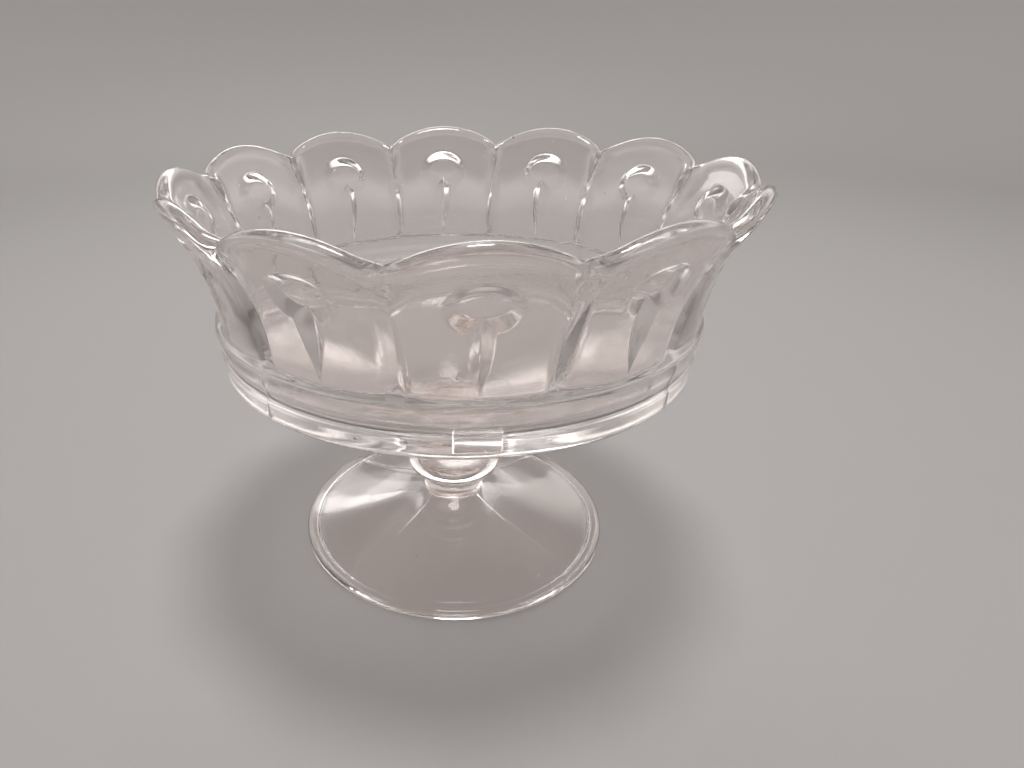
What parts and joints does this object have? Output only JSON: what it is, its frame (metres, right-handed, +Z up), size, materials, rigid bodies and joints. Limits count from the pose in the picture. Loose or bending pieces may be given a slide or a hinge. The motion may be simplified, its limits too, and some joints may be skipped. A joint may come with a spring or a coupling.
{
  "type": "footed glass compote",
  "caption": "Footed compote of clear pressed glass: a flared bowl with arched petals and a keyhole sunk into each panel, on a short knopped stem and a low round foot.",
  "frame": {"origin": "on the stem's axis, in the plane that the foot stands on", "axes": "+Z up along the stem's axis, -Y towards the front panel, which has the moulded tab under it"},
  "size_m": [0.2036, 0.2036, 0.154],
  "materials": {
    "clear_glass": "clear pressed glass, fire-polished, with a faint warm tint, soft waves, small seeds and light wear"
  },
  "bodies": {
    "root": {"bowl": "clear_glass", "stem_knop": "clear_glass", "neck_wafer": "clear_glass", "foot": "clear_glass"}
  },
  "joints": []
}
